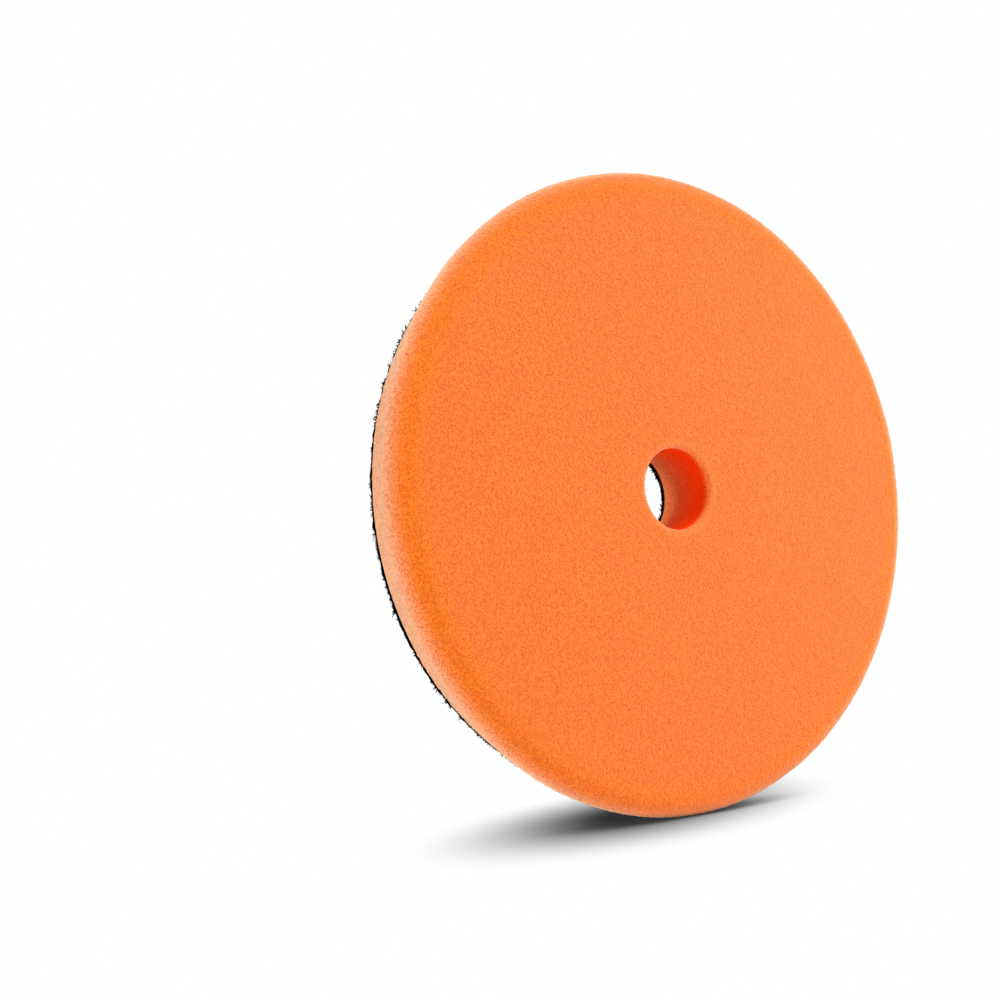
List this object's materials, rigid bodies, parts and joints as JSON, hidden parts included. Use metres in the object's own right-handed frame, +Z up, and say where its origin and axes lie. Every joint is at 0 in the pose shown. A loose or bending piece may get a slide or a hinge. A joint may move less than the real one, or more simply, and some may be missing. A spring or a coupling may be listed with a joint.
{
  "type": "polishing pad",
  "caption": "Round orange foam polishing pad with a flat working face, a tapered side, a centre hole and a black loop backing.",
  "frame": {"origin": "on the spin axis, half way through the pad's thickness", "axes": "+Y along the spin axis, out of the loop face; the foam's working face looks along -Y; +Z up, with the pad standing on its rim"},
  "size_m": [0.165, 0.0222, 0.165],
  "materials": {
    "foam": "matte open-cell polyurethane foam with a fine, even grain",
    "adhesive": "thin translucent hot-melt film",
    "cloth": "knitted polyester ground cloth",
    "pile": "brushed nylon loop pile"
  },
  "bodies": {
    "root": {"foam_disc": "foam", "adhesive_layer": "adhesive", "backing_cloth": "cloth", "loop_pile": "pile"}
  },
  "joints": []
}
